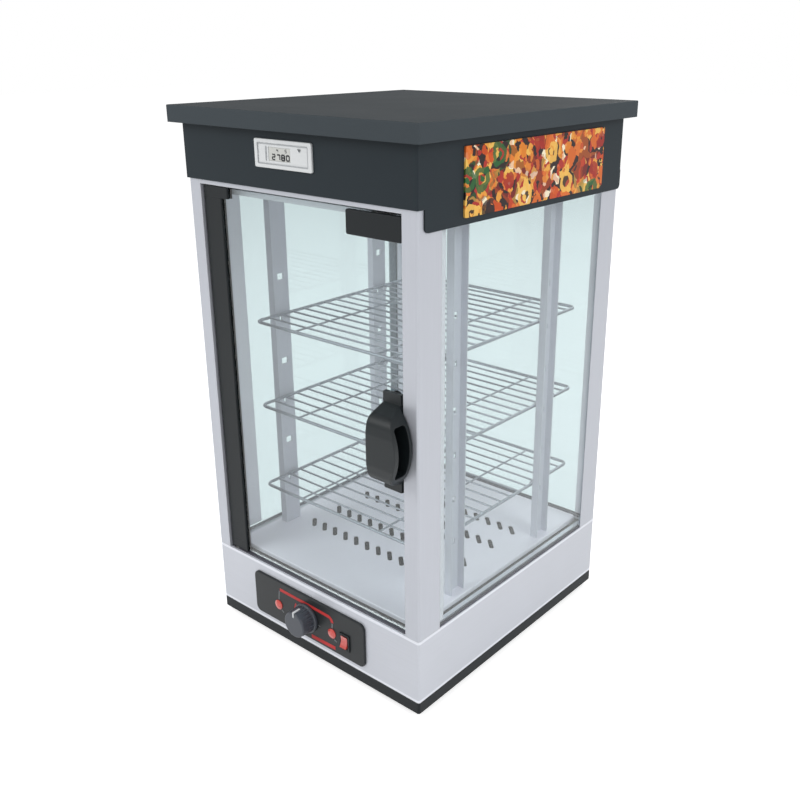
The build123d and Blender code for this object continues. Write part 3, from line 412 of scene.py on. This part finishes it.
head_paint = coated("head_powder_coat", (0.021, 0.029, 0.035, 1), 0.52, specular=0.14,
                    edge_color=(0.09, 0.10, 0.11, 1))
cap_paint = coated("cap_powder_coat", (0.064, 0.076, 0.085, 1), 0.52, specular=0.03,
                   edge_color=(0.12, 0.13, 0.14, 1))
# Painted shade: faces of the cap that point upwards are given a darker colour than its rim.
side_lean, top_lean = 0.8, 0.98
tree = cap_paint.node_tree
shape = tree.nodes.new("ShaderNodeNewGeometry")
top_shade_mask = spread(tree, upward_part(tree, shape.outputs["Normal"]), side_lean, top_lean)
overpaint(cap_paint, top_shade_mask, (0.026, 0.033, 0.038, 1))
dress(head_paint, "head_shell")
dress(cap_paint, "cap_lid")

# Plinth, feet and seals.  The plinth is a black painted tray screwed under the base,
# the feet are moulded rubber, and dark grey silicone channels bed the panes.
plinth_paint = coated("plinth_black", (0.009, 0.012, 0.014, 1), 0.5, specular=0.2,
                      edge_color=(0.06, 0.07, 0.08, 1))
foot_rubber = coated("foot_rubber", (0.012, 0.014, 0.016, 1), 0.7, grain=0.15, edge=0.1,
                     edge_color=(0.05, 0.05, 0.06, 1), specular=0.2)
seal_grey = coated("silicone_seal", (0.12, 0.125, 0.15, 1), 0.6, grain=0.08, edge=0.1,
                   edge_color=(0.2, 0.2, 0.23, 1))
dress(plinth_paint, "plinth_tray")
dress(foot_rubber, "rubber_feet", "handle_pads")
dress(seal_grey, "glass_seals")

# Panes.  Clear float glass with a pale sea-green cast, bedded in the seals, and in the
# door clamped by its stile and hinge arms.  The cut edges at the top and the bottom are
# ground, so they are dull and darker.


def pane_glass(name, tint, edge_tint):
    """Clear glass that lets lamps through, so that what stands behind it is lit."""
    haze_scale, haze_detail, smear_rough = 14.0, 5.0, 0.02
    cut_lean, ground_rough = 0.5, 0.6
    made, tree, shader = new_material(name)
    haze = noise(tree, object_place(tree), haze_scale, haze_detail).outputs["Fac"]
    smear = spread(tree, haze, 0.55, 0.85, 0.0, smear_rough)
    shape = tree.nodes.new("ShaderNodeNewGeometry")
    upright = maths(tree, "ABSOLUTE", upward_part(tree, shape.outputs["Normal"]))
    cut = maths(tree, "GREATER_THAN", upright, cut_lean)
    tree.links.new(maths(tree, "MULTIPLY_ADD", cut, ground_rough, smear),
                   shader.inputs["Roughness"])
    tree.links.new(mixed(tree, cut, tint, edge_tint), shader.inputs["Base Color"])
    shader.inputs["Transmission Weight"].default_value = 1.0
    shader.inputs["IOR"].default_value = 1.45
    clear = tree.nodes.new("ShaderNodeBsdfTransparent")
    clear.inputs["Color"].default_value = (0.97, 0.985, 0.985, 1)
    path = tree.nodes.new("ShaderNodeLightPath")
    mix = tree.nodes.new("ShaderNodeMixShader")
    tree.links.new(maths(tree, "MAXIMUM", path.outputs["Is Shadow Ray"],
                         path.outputs["Is Diffuse Ray"]), mix.inputs["Fac"])
    tree.links.new(shader.outputs["BSDF"], mix.inputs[1])
    tree.links.new(clear.outputs["BSDF"], mix.inputs[2])
    tree.links.new(mix.outputs["Shader"], tree.nodes["Material Output"].inputs["Surface"])
    return made


float_glass = pane_glass("float_glass", (0.70, 0.772, 0.78, 1), (0.22, 0.30, 0.30, 1))
dress(float_glass, "side_glass_left", "side_glass_right", "rear_glass", "door_glass")

# Glazing beads.  Bent steel strips that hold the panes against the posts.  The front
# right one is narrower than its solid, because the object shows the punched upright
# right beside that post.
# Painted light: the beads' steel is painted lighter than the uprights' and the outside's, to
# lift them out of the shade inside the glass.
bead_steel = sheet_metal("bead_steel", (0.90, 0.90, 0.95, 1), 0.45, ALONG_Z, 0.1)
dress(bead_steel, "glazing_beads")
pane_front, solid_width, shown_width = -159.4 * MM, 46.0 * MM, 24.0 * MM
right_side, edge_reach = 150.0 * MM, 1.0 * MM
bead_mesh = cad["glazing_beads"].data.copy()
bead_points = np.empty(len(bead_mesh.vertices) * 3, np.float32)
bead_mesh.vertices.foreach_get("co", bead_points)
bead_points = bead_points.reshape(-1, 3)
from_edge = np.abs(bead_points[:, 1] - (pane_front + solid_width))
narrowed = (bead_points[:, 0] > right_side) & (from_edge < edge_reach)
bead_points[narrowed, 1] = pane_front + shown_width
bead_mesh.vertices.foreach_set("co", bead_points.ravel())
bead_mesh.update()
bead_strips = bpy.data.objects.new("glazing_bead_strips", bead_mesh)
bpy.context.scene.collection.objects.link(bead_strips)
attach(bead_strips, "cabinet")
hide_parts("glazing_beads")

# Door furniture.  The stile, the two hinge arms, the corner block and the bow handle
# are black moulded plastic, screwed or clamped to the glass.  The pivot bushes are
# natural nylon, and the magnet sits in a black case under the head.
door_black = coated("door_black", (0.007, 0.010, 0.012, 1), 0.42, edge=0.25,
                    edge_color=(0.05, 0.06, 0.07, 1), specular=0.22)
handle_black = coated("handle_black", (0.010, 0.014, 0.016, 1), 0.40, edge=0.3,
                      edge_color=(0.06, 0.07, 0.08, 1), specular=0.3)
bush_nylon = coated("bush_nylon", (0.62, 0.62, 0.58, 1), 0.5, edge=0.1,
                    edge_color=(0.8, 0.8, 0.78, 1))
magnet_black = coated("magnet_black", (0.03, 0.03, 0.03, 1), 0.5)
dress(door_black, "door_stile", "hinge_arm_top", "hinge_arm_bottom", "corner_block")
dress(handle_black, "door_handle")
dress(bush_nylon, "hinge_bushes")
dress(magnet_black, "magnet_catch")

# Control panel and knob.  A black moulded plate clipped to the base carries the
# switch and the thermostat, whose ribbed knob is blue-grey moulded plastic.
panel_black = coated("panel_black", (0.020, 0.023, 0.025, 1), 0.40, edge=0.3,
                     edge_color=(0.07, 0.08, 0.09, 1), grain=0.06, specular=0.25)
knob_plastic = coated("knob_plastic", (0.050, 0.058, 0.074, 1), 0.42, edge=0.2,
                      edge_color=(0.12, 0.13, 0.15, 1))
dress(panel_black, "control_panel")
dress(door_black, "switch_housing", "thermostat_body")
dress(knob_plastic, "thermostat_knob")

# Printing on the panel.  Screen printed ink, a tenth of a millimetre thick: a red
# line that links the two lamps, a red bar below, and small grey marks.


def printed(name, outlines, face, thick, material, body):
    """Flat shapes in the x-z plane, in mm, thick deep behind the plane y = face.

    Each outline is a closed list of (x, z) points.  Its front and back are one
    n-gon each, and a strip of quads closes the edge.
    """
    points, faces = [], []
    for outline in outlines:
        ring = np.array(outline, float)
        count = len(ring)
        front = len(points) + np.arange(count)
        after = np.roll(front, -1)
        for depth in (face, face + thick):
            at_depth = np.column_stack([ring[:, 0], np.full(count, depth), ring[:, 1]])
            points += (at_depth * MM).tolist()
        faces += [front.tolist(), (front[::-1] + count).tolist()]
        faces += np.stack([after, front, front + count, after + count], 1).tolist()
    mesh = bpy.data.meshes.new(name)
    mesh.from_pydata(points, [], faces)
    mesh.update()
    mesh.materials.append(material)
    piece = bpy.data.objects.new(name, mesh)
    bpy.context.scene.collection.objects.link(piece)
    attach(piece, body)


def line(points, width):
    """The outline of a line of even width through (x, z) points, with square ends.

    Each point is set off by half the width to both sides, square to the route there.
    """
    route = np.array(points, float)
    along = np.gradient(route, axis=0)
    along /= np.linalg.norm(along, axis=1)[:, None]
    side = np.stack([-along[:, 1], along[:, 0]], 1) * width / 2
    return [tuple(point) for point in np.concatenate([route + side, (route - side)[::-1]])]


def arc(centre, radius, start, end, steps=12):
    """Points on a circle from the start to the end angle, in degrees from +x."""
    turn = np.radians(np.linspace(start, end, steps))
    return [(centre[0] + radius * math.cos(a), centre[1] + radius * math.sin(a))
            for a in turn]


ink_red = coated("ink_red", (0.56, 0.045, 0.045, 1), 0.5, grain=0.12, edge=0.0, specular=0.2)
ink_grey = coated("ink_grey", (0.13, 0.14, 0.15, 1), 0.5, grain=0.12, edge=0.0)
panel_front, ink_thick = -185.4, 0.1
knob_x, knob_z = -6.0, 62.5
upper_line = [(-55.0, 82.0), (-10.0, 81.5), (30.0, 80.5)] + arc((31.5, 73.0), 7.5, 80.0, 5.0)
lower_bar = [(1.0, 38.0), (43.0, 39.0)]
knob_mark = arc((knob_x, knob_z), 22.5, 150.0, 178.0)
red_lines = ((upper_line, 4.4), (lower_bar, 5.2), (knob_mark, 2.2))
grey_marks = (([(39.0, 73.0), (38.8, 69.5), (38.2, 66.0)], 2.4),
              ([(-56.5, 79.5), (-58.0, 66.5)], 2.0), ([(13.5, 59.5), (17.5, 59.0)], 1.6),
              ([(-53.5, 52.5), (-50.0, 50.0)], 2.2), ([(41.5, 51.0), (46.0, 49.5)], 2.0))
printed("panel_lines_red", [line(route, width) for route, width in red_lines],
        panel_front - ink_thick, ink_thick, ink_red, "cabinet")
printed("panel_marks_grey", [line(route, width) for route, width in grey_marks],
        panel_front - ink_thick, ink_thick, ink_grey, "cabinet")

# Knob pointer.  One white inlaid stripe that runs outwards on the knob's face, over
# its edge and back along the side, and turns with the knob.


def rectangle(left, right, foot, top):
    """The outline of an upright rectangle."""
    return [(left, foot), (right, foot), (right, top), (left, top)]


ink_white = coated("ink_white", (0.80, 0.82, 0.84, 1), 0.5, grain=0.08, edge=0.0)
knob_face, knob_radius = -208.2, 18.0
half_stripe, face_start, inlay = 1.1, 11.0, 1.5
stripe_rise, face_proud, face_thick, side_length = 0.25, 0.15, 0.6, 11.0
stripe_top = knob_z + knob_radius + stripe_rise
printed("knob_pointer",
        [rectangle(knob_x - half_stripe, knob_x + half_stripe,
                   knob_z + face_start, stripe_top)],
        knob_face - face_proud, face_thick, ink_white, "knob")
printed("knob_pointer_side",
        [rectangle(knob_x - half_stripe, knob_x + half_stripe,
                   knob_z + knob_radius - inlay, stripe_top)],
        knob_face - face_proud + face_thick, side_length, ink_white, "knob")

# Pilot lamps and rocker.  Red polycarbonate lenses stand over neon lamps in white
# bodies, and the rocker is a translucent red moulding with a lamp of its own.


def lit_red(name, color, glow):
    """Red plastic, lighter in small spots, with a faint glow of its own."""
    spot_scale = 420.0
    made, tree, shader = new_material(name)
    spots = noise(tree, object_place(tree), spot_scale).outputs["Fac"]
    lighter = (min(1, color[0] * 1.25), color[1] * 1.6, color[2] * 1.2, 1)
    tree.links.new(mixed(tree, spots, color, lighter), shader.inputs["Base Color"])
    tree.links.new(mixed(tree, spots, (0.9, 0.05, 0.03, 1), (1, 0.2, 0.1, 1)),
                   shader.inputs["Emission Color"])
    shader.inputs["Emission Strength"].default_value = glow
    shader.inputs["Roughness"].default_value = 0.25
    shader.inputs["Coat Weight"].default_value = 0.6
    return made


lens_red = lit_red("lens_red", (0.52, 0.045, 0.045, 1), 0.06)
rocker_red = lit_red("rocker_red", (0.50, 0.05, 0.05, 1), 0.05)
neon_white = coated("lamp_body_white", (0.6, 0.6, 0.58, 1), 0.5, edge=0.0)
dress(lens_red, "lamp_lenses")
dress(rocker_red, "switch_rocker")
dress(neon_white, "lamp_bodies")

# Heater and wiring parts inside the base.  A steel sheathed heating tube on brackets
# lies over a heat tinted shield.  The wires end in a glazed ceramic block, and the
# lead's gland is black nylon with a locknut.
element_steel = sheet_metal("heater_sheath", (0.06, 0.05, 0.045, 1), 0.5, NO_GRAIN, 0.7,
                            lines=0.3, cloud=0.4)
shield_steel = sheet_metal("heat_tinted_steel", (0.018, 0.020, 0.026, 1), 0.6, NO_GRAIN, 0.3,
                           cloud=0.4, edge=0.2, edge_color=(0.1, 0.1, 0.11, 1))
ceramic = coated("white_ceramic", (0.72, 0.70, 0.66, 1), 0.35, edge=0.2,
                 edge_color=(0.85, 0.84, 0.8, 1))
dress(element_steel, "heater_element")
dress(shield_steel, "heater_brackets", "heat_shield")
dress(ceramic, "terminal_block")
dress(door_black, "cable_gland", "gland_locknut")

# Head lamp.  A slim tube of frosted glass, which two bent sheet metal holders carry
# above the ceiling panel.
frost_scale = 300.0
lamp_white, tree, shader = new_material("lamp_frosted_glass")
frost = noise(tree, object_place(tree), frost_scale).outputs["Fac"]
tree.links.new(mixed(tree, frost, (0.78, 0.78, 0.76, 1), (0.88, 0.88, 0.86, 1)),
               shader.inputs["Base Color"])
shader.inputs["Roughness"].default_value = 0.3
dress(lamp_white, "head_lamp")

# Thermometer.  A glossy white moulded case is clipped into the head.  Behind its
# window is a grey liquid crystal display that shows black digits, and its face has
# a thin printed frame line.
bezel_white = coated("bezel_white", (0.74, 0.76, 0.77, 1), 0.3, grain=0.03, edge=0.4,
                     edge_color=(0.93, 0.94, 0.95, 1), coat=0.3)
lcd_grey = coated("lcd_grey", (0.62, 0.63, 0.60, 1), 0.25, grain=0.03, edge=0.0, coat=0.4)
ink_black = coated("lcd_black", (0.030, 0.032, 0.036, 1), 0.4, grain=0.1, edge=0.0)
ink_pale = coated("ink_pale_grey", (0.46, 0.48, 0.50, 1), 0.5, grain=0.08, edge=0.0)
dress(bezel_white, "thermometer_case")
dress(lcd_grey, "thermometer_display")


def digit(shown, left, foot, wide, tall, thick):
    """The lit bars of one seven-bar digit, as outlines in the x-z plane, in mm."""
    bars = {"0": "abcdef", "2": "abged", "4": "fgbc", "5": "afgcd", "7": "abc", "8": "abcdefg"}
    right, top, middle = left + wide, foot + tall, foot + tall / 2
    ends = {"a": ((left, top), (right, top)), "g": ((left, middle), (right, middle)),
            "d": ((left, foot), (right, foot)), "f": ((left, middle), (left, top)),
            "b": ((right, middle), (right, top)), "e": ((left, foot), (left, middle)),
            "c": ((right, foot), (right, middle))}
    return [line(ends[bar], thick) for bar in bars[shown]]


lcd_front, bezel_front = -185.7, -186.9
digit_thick, print_thick = 0.08, 0.06
large_foot, large_tall = 621.5, 5.2
small_foot, small_wide, small_tall, small_thick = 629.5, 2.2, 3.0, 0.7
display_bars = []
for shown, left, wide, thick in (("2", -22.5, 4.2, 1.5), ("7", -15.0, 4.2, 1.7),
                                 ("8", -8.0, 4.6, 1.9), ("0", -0.5, 4.2, 1.7)):
    display_bars += digit(shown, left, large_foot, wide, large_tall, thick)
for shown, left in (("4", -15.5), ("5", -2.5)):
    display_bars += digit(shown, left, small_foot, small_wide, small_tall, small_thick)
printed("display_digits", display_bars, lcd_front - digit_thick, digit_thick, ink_black,
        "cabinet")
face_x, face_z, face_wide, face_tall = -6.0, 627.0, 77.0, 20.5
frame_width, divider, divider_width = 0.9, [(-31.5, 619.5), (-31.5, 634.5)], 1.3
corners = rectangle(face_x - face_wide / 2, face_x + face_wide / 2,
                    face_z - face_tall / 2, face_z + face_tall / 2)
printed("bezel_frame_line",
        [line([corners[i], corners[(i + 1) % 4]], frame_width) for i in range(4)]
        + [line(divider, divider_width)],
        bezel_front - print_thick, print_thick, ink_pale, "cabinet")
printed("bezel_mark", [[(17.5, 635.0), (22.5, 634.6), (20.3, 631.2)]],
        bezel_front - print_thick, print_thick, ink_grey, "cabinet")

# Picture panel.  A printed film on a thin plate, glued to the head's right side.  Its
# generic pattern is of large and small warm cells, with rings and a few green ones.


def ramp_of(tree, value, stops):
    """A stepped colour from a value socket and (position, colour) stops."""
    ramp = tree.nodes.new("ShaderNodeValToRGB")
    ramp.color_ramp.interpolation = "CONSTANT"
    spots = ramp.color_ramp.elements
    while len(spots) < len(stops):
        spots.new(0.5)
    for spot, (at, color) in zip(spots, stops):
        spot.position = at
        spot.color = (*color, 1)
    tree.links.new(value, ramp.inputs["Fac"])
    return ramp.outputs["Color"]


def cell_tones(tree, vector, scale, stops):
    """(random flat tone of each Voronoi cell, distance to the cell's middle)."""
    cells = tree.nodes.new("ShaderNodeTexVoronoi")
    cells.inputs["Scale"].default_value = scale
    tree.links.new(vector, cells.inputs["Vector"])
    split = tree.nodes.new("ShaderNodeSeparateColor")
    tree.links.new(cells.outputs["Color"], split.inputs[0])
    return ramp_of(tree, split.outputs[0], stops), cells.outputs["Distance"]


film, tree, shader = new_material("picture_film")
place = object_place(tree)
large_scale, small_scale = 36.0, 125.0
wobble_scale, wobble_detail, wobble_reach = 70.0, 3.0, 14.0 * MM
wobbled = tree.nodes.new("ShaderNodeVectorMath")
wobbled.operation = "MULTIPLY_ADD"
wobbled.inputs[1].default_value = (wobble_reach,) * 3
tree.links.new(noise(tree, place, wobble_scale, wobble_detail).outputs["Color"],
               wobbled.inputs[0])
tree.links.new(place, wobbled.inputs[2])
large_tone, large_distance = cell_tones(tree, wobbled.outputs[0], large_scale, [
    (0.0, (0.62, 0.08, 0.01)), (0.20, (0.80, 0.24, 0.02)), (0.36, (0.36, 0.02, 0.01)),
    (0.50, (0.88, 0.50, 0.10)), (0.62, (0.02, 0.12, 0.03)), (0.70, (0.03, 0.01, 0.01)),
    (0.82, (0.72, 0.15, 0.02))])
small_tone = cell_tones(tree, wobbled.outputs[0], small_scale, [
    (0.0, (0.02, 0.01, 0.01)), (0.42, (0.72, 0.18, 0.03)), (0.52, (0.85, 0.50, 0.10)),
    (0.62, (0.42, 0.03, 0.02)), (0.82, (0.80, 0.34, 0.05)), (0.94, (0.92, 0.82, 0.60))])[0]
small_share = ramp_of(tree, large_distance, [
    (at, (share,) * 3) for at, share in ((0.0, 0.0), (0.14, 0.95), (0.24, 0.1),
                                         (0.46, 1.0), (0.60, 0.55))])
pattern = mixed(tree, small_share, large_tone, small_tone)
tree.links.new(pattern, shader.inputs["Base Color"])
# Painted light: the film glows faintly in its own pattern's colours, though it holds no lamp.
tree.links.new(pattern, shader.inputs["Emission Color"])
shader.inputs["Emission Strength"].default_value = 0.02
shader.inputs["Roughness"].default_value = 0.3
shader.inputs["Specular IOR Level"].default_value = 0.2
dress(film, "picture_panel")
